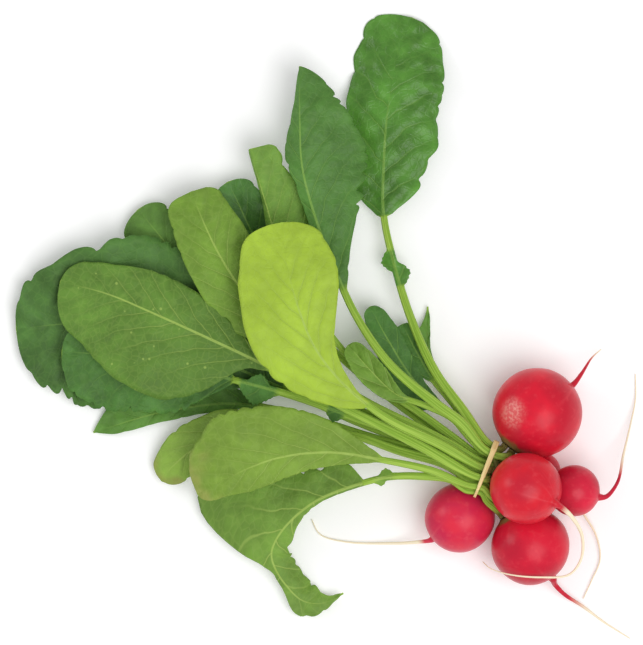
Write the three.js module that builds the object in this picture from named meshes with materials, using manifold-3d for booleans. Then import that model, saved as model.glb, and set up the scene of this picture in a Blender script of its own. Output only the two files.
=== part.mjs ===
// A tied bunch of round red radishes, lying on a surface, in millimetres with +Z up.
// Six roots with their tails, eighteen leaves and one band round the stalks.
// Plan positions are measured from the point on the surface under the band.
import * as THREE from "three";
import { mergeVertices } from "three/addons/utils/BufferGeometryUtils.js";
import Module from "manifold-3d";

const wasm = await Module();
wasm.setup();

// Driving dimensions
const BUNDLE_ANGLE = 158; // degrees from +X to the way the stalks leave the band
const STALK_THIN = 0.75; // share of a stalk's radius left where its blade begins
const RIB_TIP = 0.3; // share left at the tip of the blade
const BLADE_THICK = 0.7;
const ROOT_SIDES = 16;
const ROOT_RINGS = 11;
const REST_SINK = 0.4; // how far a root's round belly is flattened where it rests
const RESTS_BELOW = 1.5; // a root whose belly reaches lower than this lies on the surface
const TAIL_SIDES = 6;
const TAIL_TIP_RADIUS = 0.4;
const JOINT_GAP = 0.35; // between a leaf's foot and the crown it grows from
const FAN = 0.15; // share by which the stalks spread over the first 6 mm past the band
const STALK_BROAD = 1.5; // how much wider than high a stalk is, once clear of the band
const BAND = { from: 1.8, gap: 0.55 }; // how far along the stalks, and its clearance round them
const BAND_SECTION = { radial: 0.9, axial: 1.5, steps: 32 };

const Z_UP = new THREE.Vector3(0, 0, 1);
const angle = THREE.MathUtils.degToRad(BUNDLE_ANGLE);
const ALONG = new THREE.Vector3(Math.cos(angle), Math.sin(angle), 0);
const ACROSS = new THREE.Vector3(Math.sin(angle), -Math.cos(angle), 0);

// A point near the band: along the stalks, across them, and its height.
function bundle(along, across, z) {
  return new THREE.Vector3(0, 0, z).addScaledVector(ALONG, along).addScaledVector(ACROSS, across);
}

const smooth = (low, high, x) => THREE.MathUtils.smoothstep(x, low, high);
const mix = THREE.MathUtils.lerp;
const radians = THREE.MathUtils.degToRad;
const at = (points) => points.map((p) => new THREE.Vector3(...p));

// Roots: centre, radius across, share of it along the root's own axis, the point
// that the crown faces, the way that the tail leaves, and the run of the tail from there.
const ROOTS = {
  1: {
    centre: [19, 22.6, 17.4],
    radius: 17.7,
    squat: 0.98,
    faces: [8, 9.2, 19],
    tailRadius: 2,
    tailWay: [14.2, 11.2, -1.6],
    tail: [[37, 38.6, 12.5], [41, 44.5, 6], [45, 48, 2.5]],
  },
  2: {
    centre: [14, -7.4, 33.6],
    radius: 14.2,
    squat: 1,
    faces: [3.2, -2.3, 26],
    tailRadius: 1.5,
    tailWay: [10.8, -5.6, 7],
    tail: [
      [27.5, -14.5, 39.5], [32, -18.5, 37], [36.6, -27, 28], [36, -36.5, 22.5], [31.5, -42, 23],
      [20, -43, 27.4], [8, -42, 26.4], [0, -39.6, 20], [-3, -37, 15],
    ],
  },
  3: {
    centre: [33.6, -8.6, 18.6],
    radius: 10.2,
    squat: 1,
    faces: [18.5, -12.6, 16],
    tailRadius: 1.3,
    tailWay: [10.2, -2.6, -1],
    tail: [[46.5, -11, 17], [51, -5.4, 14], [53.6, 5.6, 7], [56.4, 17, 3], [58.6, 28, 1], [58.6, 38, 0.6]],
  },
  4: {
    centre: [-12, -19.4, 13.4],
    radius: 13.8,
    squat: 1.02,
    faces: [-0.8, -10.6, 14.4],
    tailRadius: 1.3,
    tailWay: [-11.2, -8.8, -3],
    tail: [[-27, -29.2, 7], [-38, -30, 2.4], [-58, -29.4, 0.8], [-68, -26.4, 0.6], [-71.4, -20.4, 0.6]],
  },
  5: {
    centre: [16.2, -30.9, 15.1],
    radius: 15.6,
    squat: 0.98,
    faces: [-1, -7, 18.6],
    tailRadius: 2,
    tailWay: [9, -13, -3.5],
    tail: [[26.2, -46.4, 7.5], [30, -50.4, 5], [37.6, -55.4, 2], [45.6, -61.4, 1], [56.6, -68.4, 0.6]],
  },
  6: {
    centre: [20.6, -1.2, 7.4],
    radius: 7.8,
    squat: 1,
    faces: [4, -0.6, 13],
    tailRadius: 1.1,
    tailWay: [8, -3, -1],
    tail: [
      [31, -6, 5], [38, -18.6, 4], [42.6, -26.4, 2.4], [44.4, -36.4, 1.2], [41, -45, 0.8],
      [37.6, -52.4, 0.6],
    ],
  },
};

// Leaves, each grown from the root in its number. foot is its place on the crown and
// slot its place in the band, both across and up. path is the run of the stalk and the
// midrib from there to the tip, of which the last `blade` mm carry the blade. left and
// right are its reach each side of the midrib at every eighth of that length, or every
// sixteenth where the edge turns sharply. fold is how far each side lifts, in degrees,
// and bend how much further it lifts by its margin.
const LEAVES = {
  leaf_1a: {
    root: 1, stalk: 1.5, foot: [1.85, 1.85], slot: [8.6, 22.6],
    colour: "deep", blade: 82, rows: 16, tip: 2,
    path: [
      [-12, 25, 20], [-22, 39, 15], [-31.5, 60, 11], [-38, 81, 9], [-42.5, 102, 6.5],
      [-42.4, 122, 6.5], [-41, 142, 7], [-37, 164, 4.5], [-31, 181, 1.2],
    ],
    left: [12, 16, 17, 17, 17, 18.5, 17.5], right: [15, 17.5, 23, 21, 21, 20, 17],
    fold: [-6, 6], bend: [-14, -20], wave: 9, lobes: [[0.84, 1, 5], [0.785, -1, 5.5]],
  },
  leaf_1b: {
    root: 1, stalk: 1.6, foot: [-1.85, 1.85], slot: [6, 25.6],
    via: [[-4.2, 7, 25.6]],
    colour: "deep", blade: 93, rows: 16, tip: 1.4,
    path: [
      [-11.5, 18.5, 26], [-22, 26.4, 26], [-40, 41.8, 24], [-54, 62, 20], [-64, 85, 19],
      [-70.5, 103, 20], [-75, 121, 21], [-76, 141, 21], [-76, 161, 19],
    ],
    left: [3, 4, 4, 5, 8, 5, 2], right: [7, 14.5, 22, 27, 28, 23.5, 15],
    fold: [-24, -6], bend: [-12, -14], wave: 6, lobes: [],
  },
  leaf_1c: {
    root: 1, stalk: 1.3, foot: [-1.85, -1.85], slot: [6.3, 19.2],
    via: [[-3.6, 7.2, 18]],
    colour: "deep", blade: 27, rows: 8, tip: 2,
    path: [
      [-14, 25, 15], [-23, 36, 11.5], [-30, 48, 8.5], [-35, 58, 6],
    ],
    left: [3, 5, 7, 8, 8, 7, 6], right: [2, 3, 4, 5, 5, 5, 4],
    fold: [10, 0], bend: [6, 8], wave: 5, lobes: [],
  },
  leaf_1d: {
    root: 1, stalk: 1.3, foot: [1.85, -1.85], slot: [8.3, 16],
    colour: "deep", blade: 30, rows: 8, tip: 1.2,
    path: [
      [-11, 23, 10.5], [-20, 36, 5], [-24.5, 48, 2.5], [-24.8, 65, 1.6],
    ],
    left: [1, 2, 4, 5, 5, 2.5, 1], right: [1, 1, 1, 1.2, 1.4, 1.2, 1],
    fold: [20, 20], bend: [8, 8], wave: 4, lobes: [],
  },
  leaf_2a: {
    root: 2, stalk: 1.6, foot: [0.6, 2.4], slot: [-0.4, 27.7],
    colour: "light", blade: 84, rows: 16, tip: 2,
    path: [
      [-20, 10, 30.5], [-38, 18.5, 33], [-48, 25, 33.5], [-59.5, 35, 34], [-70, 48.5, 34.5],
      [-76.5, 64, 35], [-81, 81, 33], [-83.5, 98.5, 29],
    ],
    left: [10, 17, 21.5, 23, 23.5, 22, 18], right: [2.5, 5, 9, 14, 19, 20, 17.5],
    fold: [4, 10], bend: [-16, -22], wave: 7, lobes: [],
  },
  leaf_2b: {
    root: 2, stalk: 1.6, foot: [-2.6, 0.6], slot: [-4.2, 28.6],
    colour: "mid", blade: 94, rows: 16, tip: 2,
    path: [
      [-28, 9.5, 28.5], [-58, 24.5, 26.5], [-76, 34, 24], [-93, 43, 21], [-112, 52, 20],
      [-134, 62, 19], [-153, 70, 16], [-172, 75, 12],
    ],
    left: [4, 22, 30, 32, 30.5, 27, 20], right: [2.5, 7, 12, 16, 16, 13.5, 11],
    fold: [2, 4], bend: [-10, -18], wave: 6, lobes: [],
  },
  leaf_2c: {
    root: 2, stalk: 1.6, foot: [-0.2, -2.4], slot: [1.3, 23.4],
    colour: "mid", blade: 74, rows: 14, tip: 3,
    path: [
      [-24, 13.9, 25], [-50, 27, 22.5], [-70, 40, 21], [-86, 54, 20], [-99, 71, 20], [-109, 87, 19],
      [-116, 102, 16], [-119.5, 111, 14],
    ],
    left: [6, 11, 13, 14, 14.5, 14, 12], right: [6, 11, 13.5, 14, 14.5, 14, 12],
    fold: [6, 6], bend: [-16, -16], wave: 8, lobes: [],
  },
  leaf_2d: {
    root: 2, stalk: 1.3, foot: [2.6, -0.6], slot: [4.7, 22.5],
    colour: "light", blade: 34, rows: 8, tip: 2,
    path: [
      [-14.7, 20, 22.5], [-25.4, 25.2, 21.5], [-37.6, 30, 20.5], [-47, 38.5, 20], [-56.8, 49.6, 19],
    ],
    left: [3, 5, 6, 6.5, 6.5, 6.5, 5], right: [2, 4, 5, 6, 6, 6, 5],
    fold: [24, 24], bend: [10, 10], wave: 3, lobes: [],
  },
  leaf_3a: {
    root: 3, stalk: 1.5, foot: [-1.7, 0], slot: [-1.6, 16.8],
    via: [[-21.4, -6.2, 15.6], [-10, -3.4, 15.8]],
    colour: "deep", blade: 112, rows: 18, tip: 2,
    path: [
      [-28, 9, 12], [-56, 20, 8], [-80, 31, 6], [-106, 42, 5.5], [-136, 52, 6], [-164, 58, 6],
      [-190, 56, 4],
    ],
    left: [5, 13, 21, 28, 34, 36, 30], right: [5, 13, 27, 40, 41, 36, 27],
    fold: [-1, 8], bend: [0, 4], wave: 4, lobes: [],
  },
  leaf_3b: {
    root: 3, stalk: 1.5, foot: [1.7, 0], slot: [-0.8, 20.4],
    via: [[-21.4, -2.6, 17], [-10, -1.2, 18.2]],
    colour: "mid", blade: 58, rows: 10, tip: 2,
    path: [
      [-30, 14, 15], [-62, 28, 10], [-88, 46, 4.6], [-108, 66, 4.6], [-126, 86, 5],
      [-141, 104, 4.6],
    ],
    left: [6, 10, 13, 15, 15, 14, 12], right: [5, 8, 10, 11.5, 12, 12, 10],
    fold: [0, 2], bend: [-2, 2], wave: 4, lobes: [],
  },
  leaf_4a: {
    root: 4, stalk: 1.5, foot: [-1.7, 0], slot: [-4.8, 20.8],
    via: [[-4.4, -6.6, 16.4]],
    colour: "mid", blade: 70, rows: 10, tip: 1.1,
    path: [
      [-26, 5.6, 15.2], [-52, 14, 10], [-80, 22.5, 3.6], [-104, 26, 2], [-132, 22.5, 1.5],
      [-159, 14.5, 1.3],
    ],
    left: [2, 3, 3.5, 4, 4, 4, 3.5], right: [5, 9, 11, 12, 12, 11, 8],
    fold: [0, 1], bend: [0, 2], wave: 2, lobes: [],
  },
  leaf_4b: {
    root: 4, stalk: 1.5, foot: [1.9, 0], slot: [-2.5, 24.3],
    via: [[-7.4, -6, 17.4], [-5, -5, 21.4]],
    colour: "deep", blade: 70, rows: 14, tip: 2,
    path: [
      [-28, 11.6, 22.1], [-43, 17, 20.5], [-58, 22, 19], [-78, 29, 16], [-104, 36, 13],
      [-136, 43, 11], [-158, 46, 10.5], [-171.5, 47, 10],
    ],
    left: [9, 18, 20, 21, 22.5, 22.5, 18], right: [8, 12, 14, 15, 15, 14, 12],
    fold: [-2, 4], bend: [-6, 6], wave: 5, lobes: [[0.66, 1, 4.5], [0.92, 1, 8], [0.92, -1, 5]],
  },
  leaf_5a: {
    root: 5, stalk: 1.4, foot: [1.1, 1.9], slot: [-8, 29.2],
    via: [[-8, -11.1, 23.5], [-3.5, -9.6, 27.5]],
    colour: "light", blade: 78, rows: 16, tip: 2,
    path: [
      [-24, -0.3, 29], [-43, 3.8, 30], [-64, 6.8, 29], [-85, 4.5, 27.5], [-103, -2.5, 25],
      [-117, -10, 21],
    ],
    left: [3.5, 5.5, 7, 8.5, 9.5, 9, 6.5], right: [6, 12, 17, 20.5, 24, 25, 18],
    fold: [2, 6], bend: [-20, -14], wave: 6, lobes: [],
  },
  leaf_5b: {
    root: 5, stalk: 1.4, foot: [-2.2, 0], slot: [-9.9, 26.5],
    via: [[-8, -14, 21.8], [-3.4, -12.3, 25]],
    colour: "mid", blade: 92, rows: 22, tip: 1.2,
    path: [
      [-16, -4, 24.5], [-27, -2.8, 23.5], [-40, -3, 22], [-54.5, -6.6, 19.5], [-68.6, -12.2, 17],
      [-77.5, -18.6, 14.5], [-84.5, -26.5, 12], [-87.5, -34, 9.5], [-85.5, -41, 7.5],
      [-81, -47.5, 6], [-75, -53, 4.5], [-67, -54, 4], [-58.6, -50, 4],
    ],
    left: [2, 2.5, 2, 4, 6.5, 9, 7.5], right: [4.5, 8, 11.5, 15, 18.5, 23, 30, 36, 5, 4, 3.5, 3, 4, 5.5, 4.5],
    fold: [-10, -4], bend: [-10, -10], wave: 6, lobes: [[0.9, 1, 3], [0.86, -1, 3.5]],
  },
  leaf_5c: {
    root: 5, stalk: 1.5, foot: [1.1, -1.9], slot: [-6.3, 25.2],
    via: [[-8, -10.2, 19.4], [-4, -8.6, 22.8]],
    colour: "mid", blade: 50, rows: 10, tip: 2,
    path: [
      [-18, 2, 21.1], [-36, 7.2, 18], [-54, 13.4, 16], [-74, 17, 14.4], [-92, 16.4, 13],
      [-115, 10, 11], [-127, 1, 7], [-131.5, -5, 4],
    ],
    left: [8, 10, 11, 11, 10, 9, 8], right: [8, 10, 11, 11, 11, 10, 8],
    fold: [-4, -4], bend: [-20, -20], wave: 5, lobes: [],
  },
  leaf_6a: {
    root: 6, stalk: 1.3, foot: [-1.5, -0.8], slot: [1.8, 16.2],
    colour: "deep", blade: 44, rows: 8, tip: 2,
    path: [
      [-30, 21, 11], [-60, 45, 7], [-80, 68, 5], [-94, 92, 6], [-102, 109, 7.5], [-105, 115, 8],
    ],
    left: [7, 9, 10, 10, 10, 10, 9], right: [8, 10, 11, 12, 12, 11, 9],
    fold: [8, 8], bend: [10, 10], wave: 6, lobes: [],
  },
  leaf_6b: {
    root: 6, stalk: 1.3, foot: [1.5, -0.8], slot: [4.8, 15.8],
    colour: "deep", blade: 38, rows: 8, tip: 2,
    path: [
      [-18, 24, 14], [-30, 35, 13], [-41, 52, 12.5], [-48, 65, 10],
    ],
    left: [3, 5, 6, 6, 6, 6, 5], right: [2, 3, 4.5, 5.5, 6, 6, 5],
    fold: [6, -4], bend: [6, -10], wave: 5, lobes: [],
  },
  leaf_6c: {
    root: 6, stalk: 1.3, foot: [0, 1.7], slot: [2.9, 19.6],
    colour: "mid", blade: 66, rows: 12, tip: 4,
    path: [
      [-26, 21, 17], [-50, 38, 15], [-71, 64, 14], [-83, 86, 14], [-90, 108, 15], [-96, 128, 18],
    ],
    left: [3, 4, 5, 5, 4, 3, 2], right: [5, 8, 11, 14, 15.5, 15, 12],
    fold: [-60, 0], bend: [-10, -8], wave: 5, lobes: [],
  },
};

const COLOURS = {
  skin: new THREE.MeshStandardMaterial({ color: 0xe01f35, roughness: 0.32, metalness: 0 }),
  deep: new THREE.MeshStandardMaterial({ color: 0x4f8040, roughness: 0.5, metalness: 0 }),
  mid: new THREE.MeshStandardMaterial({ color: 0x6f963e, roughness: 0.55, metalness: 0 }),
  light: new THREE.MeshStandardMaterial({ color: 0x94b03f, roughness: 0.55, metalness: 0 }),
  band: new THREE.MeshStandardMaterial({ color: 0xd9bd78, roughness: 0.6, metalness: 0 }),
};

// Rings of points, each with the same count, joined side by side into one closed skin.
// The rings run along the body, and each turns so that the faces point outwards.
function skinOf(rings, closedLoop = false) {
  const count = rings[0].length;
  const positions = rings.flat().flatMap((p) => [p.x, p.y, p.z]);
  const faces = [];
  const quad = (a, b, c, d) => faces.push(a, b, c, a, c, d);
  const spans = closedLoop ? rings.length : rings.length - 1;
  for (let i = 0; i < spans; i++) {
    const next = (i + 1) % rings.length;
    for (let k = 0; k < count; k++) {
      const turn = (k + 1) % count;
      quad(i * count + k, i * count + turn, next * count + turn, next * count + k);
    }
  }
  if (!closedLoop) {
    const last = (rings.length - 1) * count;
    for (let k = 1; k < count - 1; k++) {
      faces.push(0, k + 1, k);
      faces.push(last, last + k, last + k + 1);
    }
  }
  const geometry = new THREE.BufferGeometry();
  geometry.setAttribute("position", new THREE.Float32BufferAttribute(positions, 3));
  geometry.setIndex(faces);
  return geometry;
}

function solidOf(geometry) {
  const bare = geometry.clone();
  bare.deleteAttribute("normal");
  bare.deleteAttribute("uv");
  const merged = mergeVertices(bare, 1e-4);
  const mesh = new wasm.Mesh({
    numProp: 3,
    vertProperties: merged.attributes.position.array,
    triVerts: new Uint32Array(merged.index.array),
  });
  return new wasm.Manifold(mesh);
}

function geometryOf(solid) {
  const mesh = solid.getMesh();
  const geometry = new THREE.BufferGeometry();
  geometry.setAttribute("position", new THREE.BufferAttribute(mesh.vertProperties, 3));
  geometry.setIndex(new THREE.BufferAttribute(mesh.triVerts, 1));
  return geometry;
}

// Three directions at a station: the way on, the level way to the left, and up from both.
function frameAt(curve, u) {
  const on = curve.getTangentAt(u);
  const left = new THREE.Vector3().crossVectors(Z_UP, on).normalize();
  return { point: curve.getPointAt(u), on, left, up: new THREE.Vector3().crossVectors(on, left) };
}

const outAlong = (frame, left, up) =>
  frame.point.clone().addScaledVector(frame.left, left).addScaledVector(frame.up, up);

// The way that a root's crown faces, out of the root.
function crownWay(root) {
  return new THREE.Vector3(...root.faces).sub(new THREE.Vector3(...root.centre)).normalize();
}

// How far the crown's flat neck stands from the root's centre.
const NECK = { radius: 4.4, reach: 1.02 };

// A root: a round belly spun about its own axis, from the short neck that the leaves
// grow on to the blunt end, with its tail sunk into it and its belly flat where it rests.
function rootSolid(root) {
  const profile = [];
  const along = root.radius * root.squat;
  for (let i = 0; i <= ROOT_RINGS; i++) {
    const turn = (Math.PI * i) / ROOT_RINGS;
    const belly = Math.pow(Math.sin(turn), 0.94) * root.radius;
    profile.push(new THREE.Vector2(belly, -Math.cos(turn) * along));
  }
  const neckTop = along * NECK.reach;
  const neckRadius = Math.min(NECK.radius, root.radius * 0.36);
  const neckSide = new THREE.Vector2(neckRadius, neckTop - 0.9);
  const neckRim = new THREE.Vector2(neckRadius * 0.94, neckTop);
  profile.splice(-2, 2, neckSide, neckRim);
  profile.push(new THREE.Vector2(0, neckTop));
  profile[0].x = 0;
  const spun = new THREE.LatheGeometry(profile, ROOT_SIDES);
  const way = crownWay(root);
  spun.applyQuaternion(new THREE.Quaternion().setFromUnitVectors(new THREE.Vector3(0, 1, 0), way));
  spun.translate(...root.centre);
  spun.computeBoundingBox();
  const low = spun.boundingBox.min.z;
  if (low < RESTS_BELOW) spun.translate(0, 0, -REST_SINK - low);

  const tailWay = new THREE.Vector3(...root.tailWay).normalize();
  const end = new THREE.Vector3(...root.centre).addScaledVector(tailWay, along * 0.86);
  const out = new THREE.Vector3(...root.centre).addScaledVector(tailWay, along * 1.06);
  const curve = new THREE.CatmullRomCurve3([end, out, ...at(root.tail)], false, "centripetal");
  const rings = [];
  const steps = 4 + 2 * root.tail.length;
  for (let i = 0; i <= steps; i++) {
    const u = Math.pow(i / steps, 1.25);
    const frame = frameAt(curve, u);
    const flare = 1 + 1.2 * Math.exp(-u * 30);
    const radius = mix(root.tailRadius, TAIL_TIP_RADIUS, Math.pow(u, 0.42)) * flare;
    frame.point.z = Math.max(frame.point.z, radius * 0.87);
    const ring = [];
    for (let k = 0; k < TAIL_SIDES; k++) {
      const turn = (2 * Math.PI * k) / TAIL_SIDES;
      ring.push(outAlong(frame, Math.cos(turn) * radius, Math.sin(turn) * radius));
    }
    rings.push(ring);
  }
  const whole = solidOf(spun).add(solidOf(skinOf(rings)));
  const slab = new THREE.BoxGeometry(400, 400, 40).translate(0, 0, -20);
  return whole.subtract(solidOf(slab));
}

// Where a leaf's stalk starts: a place on its root's neck, a small gap off its face.
function footOf(leaf) {
  const root = ROOTS[leaf.root];
  const way = crownWay(root);
  const left = new THREE.Vector3().crossVectors(Z_UP, way).normalize();
  const up = new THREE.Vector3().crossVectors(way, left);
  const reach = root.radius * root.squat * NECK.reach + JOINT_GAP;
  const place = new THREE.Vector3(...root.centre)
    .addScaledVector(way, reach)
    .addScaledVector(left, -leaf.foot[0])
    .addScaledVector(up, leaf.foot[1]);
  return [place, place.clone().addScaledVector(way, 1.6)];
}

// The blade's reach on one side of the midrib, t of the way from its base to its tip:
// between the sizes listed it runs straight, and its edge is cut. The tip is an ellipse
// where `tip` is 2, more pointed below that and squarer above it.
function reachAt(t, row, sizes, tip) {
  const knots = [1, ...sizes];
  const place = t * knots.length;
  const k = Math.min(Math.floor(place), knots.length - 1);
  const part = place - k;
  const cut = 1 - 0.09 * (row % 2);
  if (k === knots.length - 1) {
    return Math.max(0.7, knots[k] * Math.pow(Math.max(0, 1 - Math.pow(part, tip)), 1 / tip) * cut);
  }
  return mix(knots[k], knots[k + 1], k === 0 ? Math.pow(part, 0.8) : part) * cut;
}

// One ring of ten points round a leaf: five on top from left to right, five below.
function leafRing(frame, radius, broad, reach, fold, bend) {
  const top = [];
  const under = [];
  const sides = [
    [1, reach[0], fold[0], bend[0]],
    [-1, reach[1], fold[1], bend[1]],
  ].map(([side, wide, lift, curl]) => {
    const flat = smooth(radius * 1.05, radius * 2.4, wide);
    let y = 0;
    let z = 0;
    return [0.25, 0.75].map((share, i) => {
      const slope = radians(lift + curl * share);
      y += 0.5 * wide * Math.cos(slope);
      z += 0.5 * wide * Math.sin(slope);
      const round = radians(54 - 36 * i);
      const pair = [1, -1].map((face) => [
        side * mix(broad * Math.cos(round), y - (face * Math.sin(slope) * BLADE_THICK) / 2, flat),
        mix(face * radius * Math.sin(round), z + (face * Math.cos(slope) * BLADE_THICK) / 2, flat),
      ]);
      return pair;
    });
  });
  const flattest = smooth(radius * 1.05, radius * 2.4, Math.max(...reach));
  const spine = [
    [0, mix(radius, BLADE_THICK / 2, flattest * 0.9)],
    [0, -Math.max(radius, BLADE_THICK / 2)],
  ];
  for (const pair of [sides[0][1], sides[0][0], spine, sides[1][0], sides[1][1]]) {
    const [high, low] = pair.map(([y, z]) => outAlong(frame, y, z));
    const lift = Math.max(0, -Math.min(high.z, low.z));
    high.z += lift;
    low.z += lift;
    top.push(high);
    under.unshift(low);
  }
  return [...top, ...under];
}

function leafCurve(leaf) {
  const [u, z] = leaf.slot;
  const via = (leaf.via || []).map((p) => bundle(...p));
  const inBand = [bundle(0, u, z), bundle(6, u * (1 + FAN), z)];
  const points = [...footOf(leaf), ...via, ...inBand, ...at(leaf.path)];
  return new THREE.CatmullRomCurve3(points, false, "centripetal");
}

function leafGeometry(leaf) {
  const curve = leafCurve(leaf);
  curve.arcLengthDivisions = 400;
  const length = curve.getLength();
  const bladeFrom = 1 - leaf.blade / length;
  const bunchPart = 46 / length; // the stalk turns tightest before this
  const rings = [];
  const addRing = (u, reach, t) => {
    const frame = frameAt(curve, Math.min(u, 1));
    const radius = leaf.stalk * mix(1, STALK_THIN, Math.min(1, u / bladeFrom)) * mix(1, RIB_TIP, t);
    const ripple = leaf.wave * Math.sin(t * 15) * smooth(0.1, 0.4, t);
    const bend = [leaf.bend[0] + ripple, leaf.bend[1] - ripple];
    const past = smooth(5, 18, frame.point.dot(ALONG));
    const broad = radius * mix(1, STALK_BROAD, past * (1 - 0.5 * Math.min(1, u / bladeFrom)));
    rings.push(leafRing(frame, radius, broad, reach, leaf.fold, bend));
  };
  const stalkStations = [];
  for (let i = 0; i < 8; i++) stalkStations.push((bunchPart * i) / 8);
  const open = Math.max(2, Math.round((bladeFrom - bunchPart) * length / 16));
  for (let i = 0; i < open; i++) stalkStations.push(mix(bunchPart, bladeFrom, i / open));
  for (const [place, , size] of leaf.lobes) {
    const middle = place * bladeFrom;
    for (const share of [-1, 0, 1]) stalkStations.push(middle + (share * size) / length);
  }
  stalkStations.sort((a, b) => a - b);
  const spaced = stalkStations.filter((v, i) => i === 0 || v - stalkStations[i - 1] > 1.2 / length);
  for (const u of spaced) {
    const reach = [0.5, 0.5];
    for (const [place, side, size] of leaf.lobes) {
      const bump = size * Math.max(0, 1 - Math.abs(u - place * bladeFrom) * (length / size));
      reach[side > 0 ? 0 : 1] += bump;
    }
    addRing(u, reach, 0);
  }
  for (let row = 0; row <= leaf.rows; row++) {
    const t = 1 - Math.pow(1 - row / leaf.rows, 1.3);
    const reach = [leaf.left, leaf.right].map((sizes) => reachAt(t, row, sizes, leaf.tip));
    addRing(mix(bladeFrom, 1, t), reach, t);
  }
  return skinOf(rings);
}

// The band: a flat strip laid tight round the outermost stalks. In each direction
// across the bundle it stands off the stalk that reaches farthest that way.
function bandGeometry() {
  const stalks = Object.values(LEAVES).map((leaf) => [...leaf.slot, leaf.stalk + BAND.gap]);
  const rings = [];
  for (let i = 0; i < BAND_SECTION.steps; i++) {
    const turn = (2 * Math.PI * i) / BAND_SECTION.steps;
    const [c, s] = [Math.cos(turn), Math.sin(turn)];
    const far = ([u, z, reach]) => u * c + z * s + reach;
    const [u, z, reach] = stalks.reduce((best, next) => (far(next) > far(best) ? next : best));
    const ring = [];
    for (const [out, side] of [[0, -1], [1, -1], [1, 1], [0, 1]]) {
      const stand = reach + out * BAND_SECTION.radial;
      ring.push(bundle(BAND.from + (side * BAND_SECTION.axial) / 2, u + c * stand, z + s * stand));
    }
    rings.push(ring);
  }
  return skinOf(rings, true);
}

const bunch = new THREE.Group();

function addMesh(name, geometry, material) {
  const mesh = new THREE.Mesh(geometry, material);
  mesh.name = name;
  bunch.add(mesh);
}

for (const [number, root] of Object.entries(ROOTS)) {
  addMesh(`radish_${number}`, geometryOf(rootSolid(root)), COLOURS.skin);
}
for (const [name, leaf] of Object.entries(LEAVES)) {
  addMesh(name, leafGeometry(leaf), COLOURS[leaf.colour]);
}
addMesh("tie_band", bandGeometry(), COLOURS.band);

// The origin: on the surface, under the middle of the bunch.
const extent = new THREE.Box3().setFromObject(bunch);
const middle = extent.getCenter(new THREE.Vector3());
bunch.position.set(-middle.x, -middle.y, 0);

export default bunch;
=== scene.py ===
# %% [markdown]
# # A bunch of radishes, seen from straight above
#
# The bunch lies on a white table: six round red roots, the leaves that grow from them, and a
# narrow band tied round the stalks. The simple solids of the part come in first and give every
# piece its place. Each one is then stood in for by a finer piece made here: a blade with ribs,
# puckers and a cut edge, a root with its skin and fading tail. The solids could be smoothed
# instead, but smoothing rounds off the cut edges, and a fresh sheet carries its own map of where
# the ribs run, which the leaf's colours need.

# %% Tools and the part's solids
import math

import bmesh
import bpy
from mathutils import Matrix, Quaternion, Vector, noise


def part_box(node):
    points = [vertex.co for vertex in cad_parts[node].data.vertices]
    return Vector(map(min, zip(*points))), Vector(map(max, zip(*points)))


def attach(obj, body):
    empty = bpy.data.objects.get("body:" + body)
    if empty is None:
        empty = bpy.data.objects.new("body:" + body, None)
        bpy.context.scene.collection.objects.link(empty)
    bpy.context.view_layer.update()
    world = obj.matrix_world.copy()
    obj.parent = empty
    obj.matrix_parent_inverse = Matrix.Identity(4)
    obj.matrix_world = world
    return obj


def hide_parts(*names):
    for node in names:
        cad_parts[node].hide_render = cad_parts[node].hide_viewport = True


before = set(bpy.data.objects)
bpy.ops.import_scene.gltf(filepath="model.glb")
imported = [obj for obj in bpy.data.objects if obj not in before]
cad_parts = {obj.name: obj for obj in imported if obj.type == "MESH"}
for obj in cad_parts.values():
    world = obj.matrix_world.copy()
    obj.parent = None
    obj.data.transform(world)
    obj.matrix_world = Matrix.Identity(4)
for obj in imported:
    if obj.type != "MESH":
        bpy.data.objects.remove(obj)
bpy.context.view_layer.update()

MM = 0.001

# %% [markdown]
# ## Where things are
#
# All the sizes below are in millimetres and are measured from the point on the table under the
# band. The part's own origin is under the middle of the bunch, so one shift takes every finished
# piece there. It is found further down, from the band's box. The stalks leave the band towards
# the upper left, so places near the band are given along the stalks, across them, and up.

# %% Places near the band
BUNDLE_ANGLE = math.radians(158)
ALONG = Vector((math.cos(BUNDLE_ANGLE), math.sin(BUNDLE_ANGLE), 0))
ACROSS = Vector((math.sin(BUNDLE_ANGLE), -math.cos(BUNDLE_ANGLE), 0))
UP = Vector((0, 0, 1))
BAND_FROM = 1.8


def bundle(along, across, height):
    """A point near the band, in millimetres."""
    return ALONG * along + ACROSS * across + UP * height


def mix(a, b, share):
    return a + (b - a) * share


def smooth(low, high, value):
    share = min(1, max(0, (value - low) / (high - low)))
    return share * share * (3 - 2 * share)

# %% [markdown]
# ## The roots' measures
#
# Each root has a middle, a radius, a share by which it is squat or long along its own axis, a
# point its crown faces, the way its tail leaves, how many millimetres of the tail are red, and
# the places the tail runs through. Spheres of one size would be simpler, but no two roots of a
# bunch are alike, and their tails are what tells them apart.

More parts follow.
